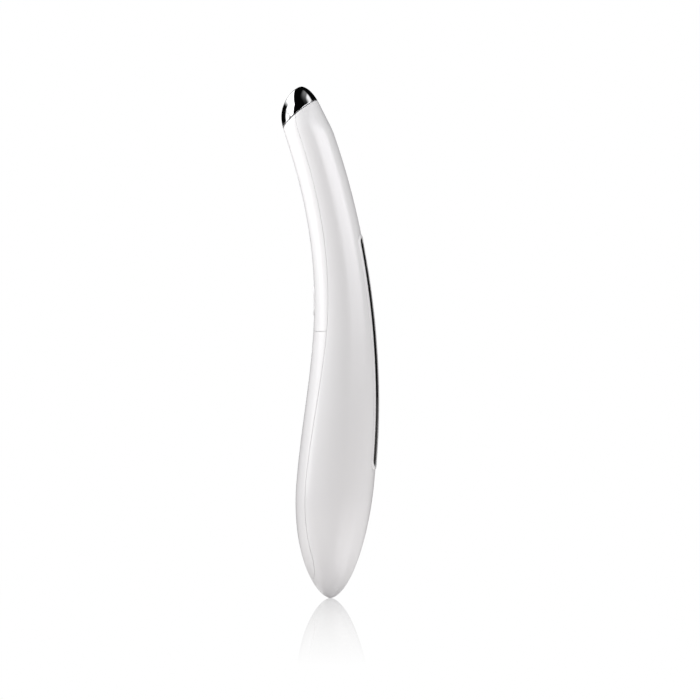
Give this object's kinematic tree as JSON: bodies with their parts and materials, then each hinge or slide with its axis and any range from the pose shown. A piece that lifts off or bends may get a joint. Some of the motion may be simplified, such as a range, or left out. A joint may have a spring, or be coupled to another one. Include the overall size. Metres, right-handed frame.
{
  "type": "heated eye massager wand",
  "caption": "Slim curved wand with a bulged handle, polished metal massage head, push button, dark back strip and a lift-off battery cover.",
  "frame": {"origin": "on the ground plane below the middle of the wand's overall box, at the tail's tip", "axes": "+Z from the tail up to the head; +X to the convex back that holds the dark strip; -X to the hollow front with the button and battery cover; the two sides mirror each other across the XZ plane"},
  "size_m": [0.0316, 0.0244, 0.1649],
  "materials": {
    "shell": "glossy pearl white moulded plastic",
    "strip": "smoked mirror black",
    "button": "glossy pearl white, moulded",
    "head": "mirror polished chrome",
    "seal": "matte silicone",
    "inner_plastic": "natural moulded plastic",
    "pad": "soft heat-conducting pad",
    "ceramic": "unglazed heater ceramic",
    "sensor": "lacquered bead",
    "steel": "plated steel",
    "brass": "plain sintered bush",
    "sleeve": "matte rubber",
    "winding": "enamelled copper winding",
    "weight": "sintered heavy metal",
    "board": "green solder mask",
    "black_parts": "moulded black",
    "tan_parts": "ceramic chip",
    "plunger": "moulded",
    "cell": "printed steel can",
    "spring_metal": "nickel plated",
    "red_wire": "insulated wire",
    "white_wire": "heat-proof insulated wire"
  },
  "bodies": {
    "root": {"back_shell": "shell", "front_shell": "shell", "back_strip": "strip", "massage_head": "head", "head_seal": "seal", "head_collar": "inner_plastic", "heater_holder": "inner_plastic", "battery_tray": "inner_plastic", "motor_cap": "inner_plastic", "thermal_pad": "pad", "heater": "ceramic", "heat_sensor": "sensor", "motor_can": "steel", "board_screws": "steel", "tray_screws": "steel", "motor_bush": "brass", "motor_sleeve": "sleeve", "circuit_board": "board", "controller_chip": "black_parts", "boost_coil": "black_parts", "switch_body": "black_parts", "board_capacitors": "tan_parts", "battery_cell": "cell", "positive_contact": "spring_metal", "negative_contact": "spring_metal", "battery_spring": "spring_metal", "battery_leads": "red_wire", "motor_leads": "red_wire", "heater_leads": "white_wire"},
    "button": {"power_button": "button", "switch_plunger": "plunger"},
    "rotor": {"motor_shaft": "steel", "motor_rotor": "winding", "swinging_weight": "weight"},
    "cover": {"battery_cover": "shell"}
  },
  "joints": [
    {"name": "button_press", "type": "slide", "parent": "root", "child": "button", "axis": [1, 0, 0], "range_m": [0, 0.0003], "stiffness_N_per_m": 1500},
    {"name": "motor_spin", "type": "hinge", "parent": "root", "child": "rotor", "pos_m": [-0.00035, 0, 0.128], "axis": [-0.2295, 0, 0.9733], "continuous": true},
    {"name": "cover_lift", "type": "slide", "parent": "root", "child": "cover", "axis": [-1, 0, 0], "range_m": [0, 0.025]}
  ]
}
